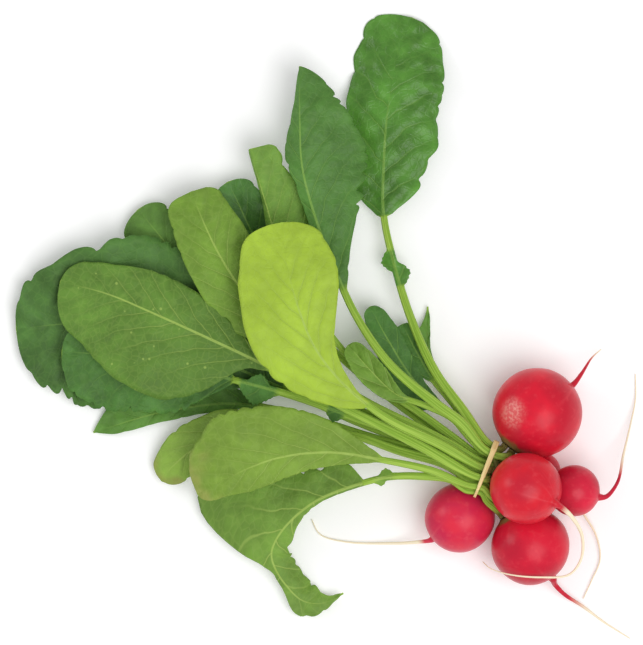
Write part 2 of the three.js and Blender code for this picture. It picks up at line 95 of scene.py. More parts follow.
# %% The roots
ROOTS = {
    1: dict(
        centre=(19, 22.6, 17.4), radius=18.0, squat=0.98, faces=(8, 9.2, 19),
        tail_radius=2.0, tail_way=(14.2, 11.2, -1.6), tail_red=16,
        tail=[(37, 38.6, 12.5), (41, 44.5, 6), (45, 48, 2.5)],
    ),
    2: dict(
        centre=(14, -7.4, 33.6), radius=14.2, squat=1, faces=(3.2, -2.3, 26),
        tail_radius=1.5, tail_way=(10.8, -5.6, 7), tail_red=4,
        tail=[
            (27.5, -14.5, 39.5), (32, -18.5, 37), (36.6, -27, 28), (36, -36.5, 22.5), (31.5, -42, 23),
            (20, -43, 27.4), (8, -42, 26.4), (0, -39.6, 20), (-3, -37, 15),
        ],
    ),
    3: dict(
        centre=(33.6, -8.6, 18.6), radius=10.2, squat=1, faces=(18.5, -12.6, 16),
        tail_radius=1.3, tail_way=(10.2, -2.6, -1), tail_red=15,
        tail=[
            (46.5, -11, 17), (51, -5.4, 14), (53.6, 5.6, 7), (56.4, 17, 3), (58.6, 28, 1), (58.6, 38, 0.6),
        ],
    ),
    4: dict(
        centre=(-12, -19.4, 13.4), radius=13.8, squat=1.02, faces=(-0.8, -10.6, 14.4),
        tail_radius=1.3, tail_way=(-11.2, -8.8, -3), tail_red=4,
        tail=[
            (-27, -29.2, 7), (-38, -30, 2.4), (-58, -29.4, 0.8), (-68, -26.4, 0.6), (-71.4, -20.4, 0.6),
        ],
    ),
    5: dict(
        centre=(16.2, -30.9, 15.1), radius=15.6, squat=0.98, faces=(-1, -7, 18.6),
        tail_radius=2.0, tail_way=(9, -13, -3.5), tail_red=17,
        tail=[
            (26.2, -46.4, 7.5), (30, -50.4, 5), (37.6, -55.4, 2), (45.6, -61.4, 1), (56.6, -68.4, 0.6),
        ],
    ),
    6: dict(
        centre=(20.6, -1.2, 7.4), radius=7.8, squat=1, faces=(4, -0.6, 13),
        tail_radius=1.1, tail_way=(8, -3, -1), tail_red=4,
        tail=[
            (31, -6, 5), (38, -18.6, 4), (42.6, -26.4, 2.4), (44.4, -36.4, 1.2), (41, -45, 0.8),
            (37.6, -52.4, 0.6),
        ],
    ),
}
print("roots:", len(ROOTS))

# %% [markdown]
# ## The leaves' measures
#
# Each leaf has a place on its root's crown, a place in the band, the run of its stalk and midrib,
# and how far its blade reaches left and right at equal steps on the way to the tip. Fold and bend
# are degrees, for the left half and the right: the slope at the midrib, and what it gains by the
# margin. A lobe is a leaflet on the stalk: how far along, on which side (1 is left), and its
# size. Such short lists give each outline its own character, which one formula would not.

# %% The leaves
LEAVES = {
    "leaf_1a": dict(
        root=1, stalk=1.5, foot=[1.85, 1.85], slot=[8.6, 22.6],
        path=[
            [-12, 25, 20], [-22, 39, 15], [-31.5, 60, 11], [-38, 81, 9], [-42.5, 102, 6.5],
            [-42.4, 122, 6.5], [-41, 142, 7], [-37, 164, 4.5], [-31, 181, 1.2],
        ],
        blade=82, left=[12, 16, 17, 17, 17, 18.5, 17.5], right=[15, 17.5, 23, 21, 21, 20, 17],
        fold=[-6, 6], bend=[-14, -20], wave=9, tip=2,
        lobes=[[0.84, 1, 5], [0.785, -1, 5.5]],
    ),
    "leaf_1b": dict(
        root=1, stalk=1.6, foot=[-1.85, 1.85], slot=[6, 25.6],
        via=[[-4.2, 7, 25.6]],
        path=[
            [-11.5, 18.5, 26], [-22, 26.4, 26], [-40, 41.8, 24], [-54, 62, 20], [-64, 85, 19],
            [-70.5, 103, 20], [-75, 121, 21], [-76, 141, 21], [-76, 161, 19],
        ],
        blade=93, left=[3, 4, 4, 5, 8, 5, 2], right=[7, 14.5, 22, 27, 28, 23.5, 15],
        fold=[-24, -6], bend=[-12, -14], wave=6, tip=1.4,
    ),
    "leaf_1c": dict(
        root=1, stalk=1.3, foot=[-1.85, -1.85], slot=[6.3, 19.2],
        via=[[-3.6, 7.2, 18]],
        path=[
            [-14, 25, 15], [-23, 36, 11.5], [-30, 48, 8.5], [-35, 58, 6],
        ],
        blade=27, left=[3, 5, 7, 8, 8, 7, 6], right=[2, 3, 4, 5, 5, 5, 4],
        fold=[10, 0], bend=[6, 8], wave=5, tip=2,
    ),
    "leaf_1d": dict(
        root=1, stalk=1.3, foot=[1.85, -1.85], slot=[8.3, 16],
        path=[
            [-11, 23, 10.5], [-20, 36, 5], [-24.5, 48, 2.5], [-24.8, 65, 1.6],
        ],
        blade=30, left=[1, 2, 4, 5, 5, 2.5, 1], right=[1, 1, 1, 1.2, 1.4, 1.2, 1],
        fold=[20, 20], bend=[8, 8], wave=4, tip=1.2,
    ),
    "leaf_2a": dict(
        root=2, stalk=1.6, foot=[0.6, 2.4], slot=[-0.4, 27.7],
        path=[
            [-20, 10, 30.5], [-38, 18.5, 33], [-48, 25, 33.5], [-59.5, 35, 34], [-70, 48.5, 34.5],
            [-76.5, 64, 35], [-81, 81, 33], [-83.5, 98.5, 29],
        ],
        blade=84, left=[10, 17, 21.5, 23, 23.5, 22, 18], right=[2.5, 5, 9, 14, 19, 20, 17.5],
        fold=[4, 10], bend=[-16, -22], wave=7, tip=2,
    ),
    "leaf_2b": dict(
        root=2, stalk=1.6, foot=[-2.6, 0.6], slot=[-4.2, 28.6],
        path=[
            [-28, 9.5, 28.5], [-58, 24.5, 26.5], [-76, 34, 24], [-93, 43, 21], [-112, 52, 20],
            [-134, 62, 19], [-153, 70, 16], [-172, 75, 12],
        ],
        blade=94, left=[4, 22, 30, 32, 30.5, 27, 20], right=[4.5, 9.5, 14, 16.5, 16, 13.5, 11],
        fold=[2, 4], bend=[-10, -18], wave=6, tip=2,
    ),
    "leaf_2c": dict(
        root=2, stalk=1.6, foot=[-0.2, -2.4], slot=[1.3, 23.4],
        path=[
            [-24, 13.9, 25], [-50, 27, 22.5], [-70, 40, 21], [-86, 54, 20], [-99, 71, 20],
            [-109, 87, 19], [-116, 102, 16], [-119.5, 111, 14],
        ],
        blade=74, left=[7.5, 13, 14.5, 14.5, 14.5, 14, 12], right=[6, 11, 13.5, 14, 14.5, 14, 12],
        fold=[6, 6], bend=[-16, -16], wave=8, tip=3,
    ),
    "leaf_2d": dict(
        root=2, stalk=1.3, foot=[2.6, -0.6], slot=[4.7, 22.5],
        path=[
            [-14.7, 20, 22.5], [-25.4, 25.2, 21.5], [-37.6, 30, 20.5], [-47, 38.5, 20],
            [-56.8, 49.6, 19],
        ],
        blade=34, left=[3, 5, 6, 6.5, 6.5, 6.5, 5], right=[2, 4, 5, 6, 6, 6, 5],
        fold=[24, 24], bend=[10, 10], wave=3, tip=2,
    ),
    "leaf_3a": dict(
        root=3, stalk=1.5, foot=[-1.7, 0], slot=[-1.6, 16.8],
        via=[[-21.4, -6.2, 15.6], [-10, -3.4, 15.8]],
        path=[
            [-28, 9, 12], [-56, 20, 8], [-80, 31, 6], [-106, 42, 5.5], [-136, 52, 6], [-164, 58, 6],
            [-190, 56, 4],
        ],
        blade=112, left=[6, 14, 21, 28, 33, 34, 28], right=[11, 20, 29, 40, 40, 33, 23],
        fold=[-1, 8], bend=[0, 4], wave=4, tip=2,
    ),
    "leaf_3b": dict(
        root=3, stalk=1.5, foot=[1.7, 0], slot=[-0.8, 20.4],
        via=[[-21.4, -2.6, 17], [-10, -1.2, 18.2]],
        path=[
            [-30, 14, 15], [-62, 28, 10], [-88, 46, 4.6], [-108, 66, 4.6], [-126, 86, 5],
            [-141, 104, 4.6],
        ],
        blade=58, left=[6, 10, 13, 15, 15, 14, 12], right=[5, 8, 10, 11.5, 12, 12, 10],
        fold=[0, 2], bend=[-2, 2], wave=4, tip=2,
    ),
    "leaf_4a": dict(
        root=4, stalk=1.5, foot=[-1.7, 0], slot=[-4.8, 20.8],
        via=[[-4.4, -6.6, 16.4]],
        path=[
            [-26, 5.6, 15.2], [-52, 14, 10], [-80, 22.5, 3.6], [-104, 26, 2], [-132, 22.5, 1.5],
            [-159, 14.5, 1.3],
        ],
        blade=70, left=[2, 3, 3.5, 4, 4, 4, 3.5], right=[5, 9, 11, 12, 12, 11, 8],
        fold=[0, 1], bend=[0, 2], wave=2, tip=1.1,
    ),
    "leaf_4b": dict(
        root=4, stalk=1.5, foot=[1.9, 0], slot=[-2.5, 24.3],
        via=[[-7.4, -6, 17.4], [-5, -5, 21.4]],
        path=[
            [-28, 11.6, 22.1], [-43, 17, 20.5], [-58, 22, 19], [-78, 29, 16], [-104, 36, 13],
            [-136, 43, 11], [-158, 46, 10.5], [-171.5, 47, 10],
        ],
        blade=70, left=[9, 18, 20, 21, 22.5, 22.5, 18], right=[8, 12, 14, 15, 15, 14, 12],
        fold=[-2, 4], bend=[-6, 6], wave=5, tip=2,
        lobes=[[0.66, 1, 4.5], [0.92, 1, 8], [0.92, -1, 5]],
    ),
    "leaf_5a": dict(
        root=5, stalk=1.4, foot=[1.1, 1.9], slot=[-8, 29.2],
        via=[[-8, -11.1, 23.5], [-3.5, -9.6, 27.5]],
        path=[
            [-24, -0.3, 29], [-43, 3.8, 30], [-64, 6.8, 29], [-85, 4.5, 27.5], [-103, -2.5, 25],
            [-117, -10, 21],
        ],
        blade=78, left=[3.5, 5.5, 7, 8.5, 9.5, 9, 6.5], right=[6, 12, 17, 20.5, 24, 25, 18],
        fold=[2, 6], bend=[-20, -14], wave=6, tip=2,
    ),
    "leaf_5b": dict(
        root=5, stalk=1.4, foot=[-2.2, 0], slot=[-9.9, 26.5],
        via=[[-8, -14, 21.8], [-3.4, -12.3, 25]],
        path=[
            [-16, -4, 24.5], [-27, -2.8, 23.5], [-40, -3, 22], [-54.5, -6.6, 19.5], [-68.6, -12.2, 17],
            [-77.5, -18.6, 14.5], [-84.5, -26.5, 12], [-87.5, -34, 9.5], [-85.5, -41, 7.5],
            [-81, -47.5, 6], [-75, -53, 4.5], [-67, -54, 4], [-58.6, -50, 4],
        ],
        blade=92, left=[1.6, 1.6, 1.6, 1.8, 2.3, 3.7, 6, 6.4, 8.7, 9, 9, 9, 9, 7.5, 2],
        right=[12.5, 12.5, 13, 15.5, 18.5, 23, 31, 40, 7, 1.5, 1.7, 2.9, 6.5, 5, 1.3],
        fold=[-10, -4], bend=[-10, -10], wave=6, tip=1.2,
        lobes=[[0.9, 1, 3], [0.86, -1, 3.5]],
    ),
    "leaf_5c": dict(
        root=5, stalk=1.5, foot=[1.1, -1.9], slot=[-6.3, 25.2],
        via=[[-8, -10.2, 19.4], [-4, -8.6, 22.8]],
        path=[
            [-18, 2, 21.1], [-36, 7.2, 18], [-54, 13.4, 16], [-74, 17, 14.4], [-92, 16.4, 13],
            [-115, 10, 11], [-127, 1, 7], [-131.5, -5, 4],
        ],
        blade=50, left=[8, 10, 11, 11, 10, 9, 8], right=[8, 10, 11, 11, 11, 10, 8],
        fold=[-4, -4], bend=[-20, -20], wave=5, tip=2,
    ),
    "leaf_6a": dict(
        root=6, stalk=1.3, foot=[-1.5, -0.8], slot=[1.8, 16.2],
        path=[
            [-30, 21, 11], [-60, 45, 7], [-80, 68, 5], [-94, 92, 6], [-102, 109, 7.5], [-105, 115, 8],
        ],
        blade=44, left=[7, 9, 10, 10, 10, 10, 9], right=[8, 10, 11, 12, 12, 11, 9],
        fold=[8, 8], bend=[10, 10], wave=6, tip=2,
    ),
    "leaf_6b": dict(
        root=6, stalk=1.3, foot=[1.5, -0.8], slot=[4.8, 15.8],
        path=[
            [-18, 24, 14], [-30, 35, 13], [-41, 52, 12.5], [-48, 65, 10],
        ],
        blade=50, left=[8, 10, 10, 9, 7, 6, 5], right=[2, 3, 4.5, 5.5, 6, 6, 5],
        fold=[6, -4], bend=[6, -10], wave=5, tip=2,
    ),
    "leaf_6c": dict(
        root=6, stalk=1.3, foot=[0, 1.7], slot=[2.9, 19.6],
        path=[
            [-26, 21, 17], [-50, 38, 15], [-71, 64, 14], [-83, 86, 14], [-90, 108, 15], [-96, 128, 18],
        ],
        blade=82, left=[9, 11, 11, 9, 6, 3, 2], right=[9, 12, 13, 14, 15.5, 15, 12],
        fold=[-60, 0], bend=[-10, -8], wave=5, tip=4,
    ),
}
print("leaves:", len(LEAVES))

# %% [markdown]
# ## Runs: smooth lines through a few places
#
# A stalk, a midrib or a tail is a smooth line through its listed places. Blender's own curves
# could carry them, but the pieces are meshes with a width that changes all the way, so the line
# is worked out as closely spaced points and read by distance. The spacing of the spline follows
# the square root of the gaps, which keeps sharp turns from looping.

# %% A smooth run, read by distance along it
STEPS_PER_GAP = 24


class Run:
    def __init__(self, places):
        self.points = []
        first = places[0] * 2 - places[1]
        last = places[-1] * 2 - places[-2]
        ends = [first, *places, last]
        for k in range(len(places) - 1):
            a, b, c, d = ends[k : k + 4]
            before, here, after = [(q - p).length ** 0.5 for p, q in ((a, b), (b, c), (c, d))]
            leave = (b - a) / before - (c - a) / (before + here) + (c - b) / here
            arrive = (c - b) / here - (d - b) / (here + after) + (d - c) / after
            leave *= here
            arrive *= here
            for step in range(STEPS_PER_GAP):
                t = step / STEPS_PER_GAP
                bend = (c - b) * 3 - leave * 2 - arrive
                twist = (b - c) * 2 + leave + arrive
                self.points.append(b + leave * t + bend * t * t + twist * t * t * t)
        self.points.append(places[-1].copy())
        self.marks = [0.0]
        for p, q in zip(self.points, self.points[1:]):
            self.marks.append(self.marks[-1] + (q - p).length)
        self.length = self.marks[-1]

    def at(self, distance):
        """The place at a distance along the run."""
        distance = min(self.length, max(0, distance))
        low, high = 0, len(self.marks) - 1
        while high - low > 1:
            middle = (low + high) // 2
            if self.marks[middle] <= distance:
                low = middle
            else:
                high = middle
        share = (distance - self.marks[low]) / max(1e-9, self.marks[high] - self.marks[low])
        return self.points[low].lerp(self.points[high], share)

    def frame(self, distance):
        """The place, the way on, the level way to the left, and the way up from both."""
        on = (self.at(distance + 0.4) - self.at(distance - 0.4)).normalized()
        left = UP.cross(on).normalized()
        return self.at(distance), on, left, on.cross(left)


# %% [markdown]
# ## Skins: a grid wrapped round a run
#
# Roots, tails, stalks, blades and the band are all one kind of mesh: a flat grid whose rows are
# laid along a run and whose columns go round it. The seam and the ends are closed afterwards.
# Spinning or bevelled curves would give round pieces only. A grid can pass from a round stalk
# to a flat blade in one skin, as a leaf does, and its rows and columns give each piece a map
# in real millimetres for its colours.

# %% A grid wrapped into a closed skin
def wrap_skin(title, rings, maps, finish, closed_loop=False):
    """A closed mesh through rings of places, each ring with as many. maps are named maps, each
    with one pair of numbers for each place, kept apart along the seam where a ring closes."""
    rows = len(rings)
    around = len(rings[0])
    rows_on = rows + 1 if closed_loop else rows
    mesh = bmesh.new()
    bmesh.ops.create_grid(mesh, x_segments=rows_on - 1, y_segments=around, size=1)
    mesh.verts.ensure_lookup_table()
    spot = {}
    for vertex in mesh.verts:
        row = vertex.index % rows_on
        column = vertex.index // rows_on
        spot[vertex.index] = (row, column)
        vertex.co = rings[row % rows][column % around] * MM + shift
    for name, values in maps.items():
        layer = mesh.loops.layers.uv.new(name)
        for face in mesh.faces:
            for loop in face.loops:
                row, column = spot[loop.vert.index]
                loop[layer].uv = values(row, column)
    bmesh.ops.remove_doubles(mesh, verts=mesh.verts, dist=1e-7)
    if not closed_loop:
        open_edges = [edge for edge in mesh.edges if edge.is_boundary]
        bmesh.ops.holes_fill(mesh, edges=open_edges, sides=0)
    bmesh.ops.recalc_face_normals(mesh, faces=mesh.faces)
    for face in mesh.faces:
        face.smooth = True
    data = bpy.data.meshes.new(title)
    mesh.to_mesh(data)
    mesh.free()
    data.materials.append(finish)
    piece = bpy.data.objects.new(title, data)
    bpy.context.scene.collection.objects.link(piece)
    return piece


# %% [markdown]
# ## The band's outline, and the shift
#
# The band is pulled tight, so in every direction it stands off the stalk that reaches farthest
# that way. That rule gives its outline without any drawing. The solid band follows the same
# rule in thirty-two steps, so the middle of its box, set against the middle found here, gives
# the shift from the sizes below to the part's origin.

# %% The band's outline round the stalks
BAND_GAP = 0.55
BAND_THICK = 0.9
BAND_WIDE = 1.5
SOLID_STEPS = 32


def band_point(turn, out, along):
    """A place on the band: out from its inner face, and along the stalks from its middle."""
    way = (math.cos(turn), math.sin(turn))
    reach = {
        name: leaf["slot"][0] * way[0] + leaf["slot"][1] * way[1] + leaf["stalk"]
        for name, leaf in LEAVES.items()
    }
    widest = LEAVES[max(reach, key=reach.get)]
    stand = widest["stalk"] + BAND_GAP + out
    across = widest["slot"][0] + way[0] * stand
    return bundle(BAND_FROM + along, across, widest["slot"][1] + way[1] * stand)


corners = [
    band_point(2 * math.pi * step / SOLID_STEPS, out, side * BAND_WIDE / 2)
    for step in range(SOLID_STEPS)
    for out in (0, BAND_THICK)
    for side in (-1, 1)
]
band_low, band_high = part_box("tie_band")
shift = Vector(
    (band_low[axis] + band_high[axis]) / 2
    - MM * (min(c[axis] for c in corners) + max(c[axis] for c in corners)) / 2
    for axis in range(3)
)
print("shift in mm:", [round(v / MM, 2) for v in shift])

# %% [markdown]
# ## Where a leaf runs
#
# A leaf grows from the flat neck of its root, turns into the bundle, passes the band at its
# own place and then fans out. Only these few places are held, and one smooth run joins them,
# so a stalk and its midrib are one line.

# %% Where a leaf starts on its crown
NECK_REACH = 1.02
JOINT_GAP = 0.35
FAN = 0.15  # share by which the stalks spread just past the band


def crown_way(root):
    return (Vector(root["faces"]) - Vector(root["centre"])).normalized()


def foot_places(leaf):
    """The first two places of a stalk, just off its root's neck."""
    root = ROOTS[leaf["root"]]
    way = crown_way(root)
    left = UP.cross(way).normalized()
    up = way.cross(left)
    reach = root["radius"] * root["squat"] * NECK_REACH + JOINT_GAP
    place = Vector(root["centre"]) + way * reach - left * leaf["foot"][0] + up * leaf["foot"][1]
    return [place, place + way * 1.6]


def leaf_run(leaf):
    across, height = leaf["slot"]
    turns = [bundle(*place) for place in leaf.get("via", [])]
    band = [bundle(0, across, height), bundle(6, across * (1 + FAN), height)]
    return Run([*foot_places(leaf), *turns, *band, *[Vector(p) for p in leaf["path"]]])


# %% [markdown]
# ## Materials as short sums
#
# A finish is a few masks and mixes. Wiring them by hand hides the idea, so one small class
# wraps a node's socket and lets masks be written as sums. Numbers go through Math nodes;
# colours go through Mix, because a Math node would turn them grey.

# %% A wire that can be added, multiplied and mixed
class Wire:
    def __init__(self, finish, socket):
        self.finish = finish
        self.socket = socket

    def math(self, operation, *others):
        inputs = {0: self, **dict(enumerate(others, 1))}
        return self.finish.node("ShaderNodeMath", {"operation": operation}, inputs).out(0)

    def __add__(self, other):
        return self.math("ADD", other)

    def __mul__(self, other):
        return self.math("MULTIPLY", other)

    def __sub__(self, other):
        return self.math("SUBTRACT", other)

    def __truediv__(self, other):
        return self.math("DIVIDE", other)

    def __radd__(self, other):
        return self + other

    def __rmul__(self, other):
        return self * other

    def __rsub__(self, other):
        return (self * -1) + other

    def step(self, low, high):
        """Smoothly from 0 at low to 1 at high. low may be the larger."""
        settings = {"interpolation_type": "SMOOTHSTEP"}
        if low < high:
            inputs = {0: self, 1: low, 2: high, 3: 0, 4: 1}
        else:
            inputs = {0: self, 1: high, 2: low, 3: 1, 4: 0}
        return self.finish.node("ShaderNodeMapRange", settings, inputs).out(0)


class Made:
    """A node that has been made, and its outputs."""

    def __init__(self, finish, node):
        self.finish = finish
        self.node = node

    def out(self, name):
        return Wire(self.finish, self.node.outputs[name])


class Finish:
    """A material with one glossy shader, and ways to feed it."""

    def __init__(self, title):
        self.material = bpy.data.materials.new(title)
        self.material.use_nodes = True
        self.tree = self.material.node_tree
        self.tree.nodes.clear()
        self.shader = self.node("ShaderNodeBsdfPrincipled", {}, {})
        self.node("ShaderNodeOutputMaterial", {}, {"Surface": self.shader.out("BSDF")})

    def node(self, kind, settings, inputs):
        """Makes a node of a kind, first with its settings and then with its inputs."""
        made = self.tree.nodes.new(kind)
        for name, value in settings.items():
            setattr(made, name, value)
        for name, value in inputs.items():
            if isinstance(value, Wire):
                self.tree.links.new(value.socket, made.inputs[name])
            else:
                made.inputs[name].default_value = value
        return Made(self, made)

    def feed(self, **inputs):
        """Sets or links sockets of the shader, with _ for each space in a name."""
        for name, value in inputs.items():
            socket = self.shader.node.inputs[name.replace("_", " ")]
            if isinstance(value, Wire):
                self.tree.links.new(value.socket, socket)
            else:
                socket.default_value = value

    def blend(self, share, first, second):
        """first where share is 0 and second where it is 1; colours."""
        settings = {"data_type": "RGBA"}
        inputs = {0: share, 6: first, 7: second}
        return self.node("ShaderNodeMix", settings, inputs).out(2)

    def map(self, name):
        """The two numbers of a named map, as two wires."""
        place = self.node("ShaderNodeUVMap", {"uv_map": name}, {}).out(0)
        parts = self.node("ShaderNodeSeparateXYZ", {}, {0: place})
        return parts.out(0), parts.out(1)

    def vector(self, x, y):
        return self.node("ShaderNodeCombineXYZ", {}, {0: x, 1: y}).out(0)

    def cloud(self, place, scale, detail):
        """Soft noise about one half."""
        inputs = {"Vector": place, "Scale": scale, "Detail": detail}
        return self.node("ShaderNodeTexNoise", {}, inputs).out(0)

    def object_place(self):
        return self.node("ShaderNodeTexCoord", {}, {}).out("Object")

    def bump(self, height, strength, distance):
        inputs = {"Strength": strength, "Distance": distance, "Height": height}
        self.feed(Normal=self.node("ShaderNodeBump", {}, inputs).out(0))


def colour(red, green, blue):
    return (red, green, blue, 1)


# %% [markdown]
# ## The leaf's finish
#
# A radish leaf has a pale midrib, side ribs that leave it slanting forwards and curve towards the
# tip, and a fine net between them. The leaf's map holds millimetres across and along, so the
# side ribs are lines where a slanted distance comes round again, and the net is the edges of
# cells. In plain light the ribs are only a little paler than the blade, and most of what the eye
# sees is broad patches of darker and lighter green, so those get the most colour and the ribs and
# the net mainly press in. The broadest patches are tone that differs at random; the smaller mottle
# is painted light and shade for the puckers, and the dents along the side ribs carry painted shade.
# Two leaves end in an olive tip, two carry painted shade near the stalk where they pass under the
# next, and one carries a few drops of water, painted as pale glints.

# %% The leaf's finish, from its maps
def leaf_finish(
    title, dark, light, rib, gloss=0.5, slant=1.5, spacing=11.0, rib_show=0.35, rib_end=0.85,
    tip=None, shade_base=0.0, drops=0.0,
):
    finish = Finish(title)
    across, along = finish.map("size_map")
    blade, rib_half = finish.map("form_map")
    outward, onward = finish.map("share_map")
    place = finish.vector(across, along)
    wander = finish.cloud(place, 0.06, 2.0) - 0.5
    side = across.math("ABSOLUTE")
    other_side = across.math("LESS_THAN", 0.0)
    slanted = along - side * slant + side * side * 0.012 + wander * 10 + other_side * (spacing * 0.45)
    turn = (slanted / spacing).math("FRACT")
    off_rib = turn.math("MINIMUM", 1 - turn) * spacing
    near_midrib = side.step(26.0, 1.0) * onward.step(1.0, 0.55)
    side_rib = off_rib.step(0.7, 0.1) * near_midrib
    # dents along the side ribs: pressed in by the bump, and darkened in the colour with painted shade
    rib_dent_and_shade = off_rib.step(3.6, 0.0) * outward.step(1.0, 0.6)
    cells = finish.node(
        "ShaderNodeTexVoronoi",
        {"feature": "DISTANCE_TO_EDGE"},
        {"Vector": finish.vector(across + wander * 6, along + wander * 4), "Scale": 0.36},
    ).out("Distance")
    net = cells.step(0.12, 0.0)
    midrib = (side / rib_half).step(1.3, 0.6) * onward.step(rib_end + 0.15, rib_end - 0.15)
    patch = finish.cloud(place, 0.035, 2.0).step(0.36, 0.64)
    # painted light and shade: a smaller mottle that stands in for the shading of the puckers
    painted_pucker_shading = finish.cloud(place, 0.16, 3.0).step(0.32, 0.7)
    speck = finish.cloud(place, 0.7, 3.0)
    # the broad patches are tone that differs at random; the mottle mixed in with them is painted light and
    # shade
    face = finish.blend(patch * 0.6 + painted_pucker_shading * 0.4, dark, light)
    face = finish.blend(outward.step(0.86, 1.0) * 0.35, face, light)
    if tip:
        aged = (onward - 0.86) * 9 + wander * 4 + outward * 0.6
        face = finish.blend(aged.step(0.3, 1.3), face, tip)
    # painted shade near the stalk, where this leaf passes under the next
    if shade_base:
        face = finish.blend(onward.step(0.62, 0.1) * shade_base, face, dark)
    face = finish.blend(net * 0.1, face, rib)
    # painted shade in the dents along the side ribs
    face = finish.blend(rib_dent_and_shade * 0.3, face, dark)
    face = finish.blend(side_rib * rib_show, face, rib)
    # a few drops of water, painted as pale glints on the blade
    if drops:
        bead = finish.node("ShaderNodeTexVoronoi", {}, {"Vector": place, "Scale": 0.24})
        drop_glint = bead.out("Distance").step(0.17, 0.1) * finish.cloud(place, 0.09, 1.0).step(0.5, 0.56)
        face = finish.blend(drop_glint * drops, face, rib)
    streak = finish.cloud(finish.vector(across * 1.6, along * 0.03), 1.0, 2.0)
    stem = finish.blend(streak.step(0.35, 0.65), STEM_DEEP, STEM_PALE)
    foot = finish.cloud(finish.vector(across * 0.4, along * 0.2), 1.0, 2.0)
    bare = leaf_bare(title)
    stem = finish.blend((along + foot * 6).step(13 - bare, 5 - bare), stem, STEM_FOOT)
    ribbed = finish.blend(streak.step(0.3, 0.7) * 0.3, rib, STEM_PALE)
    face = finish.blend(midrib * 0.7, face, ribbed)
    face = finish.blend(blade, stem, face)
    ridge = streak * (1 - blade) * 0.9
    puff = finish.cloud(place, 0.2, 3.0)
    height = ridge + blade * (puff * 1.1 + speck * 0.1 - side_rib * 0.35 - net * 0.12 - rib_dent_and_shade * 0.4)
    finish.feed(
        Base_Color=face,
        Roughness=gloss + (1 - speck) * 0.16,
        Specular_IOR_Level=0.3,
    )
    finish.bump(height, 0.6, 0.0009)
    return finish.material


def leaf_bare(title):
    """The length of a leaf's bare stalk, in millimetres."""
    return leaf_run(LEAVES[title]).length - LEAVES[title]["blade"]


def tones(mean, spread=0.22, **rest):
    """A darker and a lighter green about a mean one, and the rest of a finish's values."""
    dark = [value * (1 - spread) for value in mean]
    light = [value * (1 + spread) for value in mean]
    return dict(dark=colour(*dark), light=colour(*light), **rest)


STEM_DEEP = colour(0.21, 0.38, 0.028)
STEM_PALE = colour(0.38, 0.57, 0.08)
STEM_FOOT = colour(0.16, 0.13, 0.03)
RIB_PALE = colour(0.4, 0.55, 0.12)
RIB_GREEN = colour(0.2, 0.38, 0.07)
TIP_OLIVE = colour(0.27, 0.32, 0.065)
TONES = {
    "leaf_1a": tones((0.088, 0.25, 0.032), 0.4, rib=RIB_GREEN, gloss=0.26, slant=1.0, rib_end=0.5),
    "leaf_1b": tones((0.08, 0.21, 0.034), 0.25, rib=RIB_GREEN, gloss=0.42),
    "leaf_1c": tones((0.08, 0.21, 0.034), rib=RIB_GREEN),
    "leaf_1d": tones((0.12, 0.28, 0.04), rib=RIB_GREEN),
    "leaf_2a": tones((0.36, 0.53, 0.042), 0.16, rib=RIB_PALE, slant=1.9, rib_end=0.65),
    # 2b and 2c carry painted shade near the stalk, and 2b carries painted glints of water drops
    "leaf_2b": tones((0.115, 0.24, 0.03), 0.27, rib=RIB_PALE, slant=1.7, shade_base=0.9, drops=0.5),
    "leaf_2c": tones((0.17, 0.31, 0.034), 0.25, rib=RIB_PALE, slant=1.7, shade_base=0.8),
    "leaf_2d": tones((0.19, 0.35, 0.05), rib=RIB_PALE, slant=1.9),
    "leaf_3a": tones((0.066, 0.165, 0.03), 0.35, rib=RIB_GREEN, slant=1.1),
    "leaf_3b": tones((0.1, 0.22, 0.034), 0.35, rib=RIB_GREEN),
    "leaf_4a": tones((0.11, 0.26, 0.038), 0.3, rib=RIB_GREEN),
    "leaf_4b": tones((0.075, 0.2, 0.034), 0.35, rib=RIB_GREEN, slant=1.1),
    "leaf_5a": tones((0.19, 0.32, 0.036), 0.2, rib=RIB_PALE, slant=1.8, tip=TIP_OLIVE, rib_end=0.7),
    "leaf_5b": tones((0.16, 0.3, 0.04), 0.28, rib=RIB_PALE, slant=1.0, rib_show=0.5),
    "leaf_5c": tones((0.24, 0.4, 0.055), 0.2, rib=RIB_PALE, slant=1.7, tip=TIP_OLIVE),
    "leaf_6a": tones((0.07, 0.19, 0.034), 0.35, rib=RIB_GREEN, gloss=0.4),
    "leaf_6b": tones((0.07, 0.19, 0.034), 0.3, rib=RIB_GREEN),
    "leaf_6c": tones((0.16, 0.32, 0.042), 0.2, rib=RIB_PALE, slant=1.8),
}

# %% [markdown]
# ## A blade's outline
#
# The outline runs from one listed reach to the next and ends in a tip that may be round, pointed
# or blunt. A real margin has no corners where somebody happened to measure it, so each reach is
# the mean of five near ones, which rounds the corners off but keeps the outline where it is.

# %% How far a blade reaches
def reach_at(share, sizes, tip):
    """Between the listed sizes the reach runs straight. The tip is an ellipse where tip is 2,
    more pointed below that and squarer above it."""
    knots = [1, *sizes]
    place = share * len(knots)
    k = min(int(place), len(knots) - 1)
    part = place - k
    if k == len(knots) - 1:
        return max(0.4, knots[k] * max(0, 1 - part**tip) ** (1 / tip))
    return mix(knots[k], knots[k + 1], part**0.8 if k == 0 else part)


def soft_reach(share, sizes, tip):
    """The reach, with the corners between the listed sizes rounded off."""
    spread = 0.28 / (len(sizes) + 1) * min(1, (1 - share) * 8)
    near = [min(1, max(0, share + spread * s)) for s in (-1, -0.5, 0, 0.5, 1)]
    return sum(reach_at(place, sizes, tip) for place in near) / 5


# %% [markdown]
# ## A ring round a leaf
#
# A leaf starts as a stalk on the crown and opens into a thin blade with the stalk running on as
# its midrib. Each ring is worked out the same way: every column leaves the midrib at a slope that
# grows towards the margin, which folds the blade or curls it under, and near the stalk the same
# columns close up into a ridged tube.

# %% One ring round a leaf
BLADE_THICK = 0.5
HALF_COLUMNS = 11


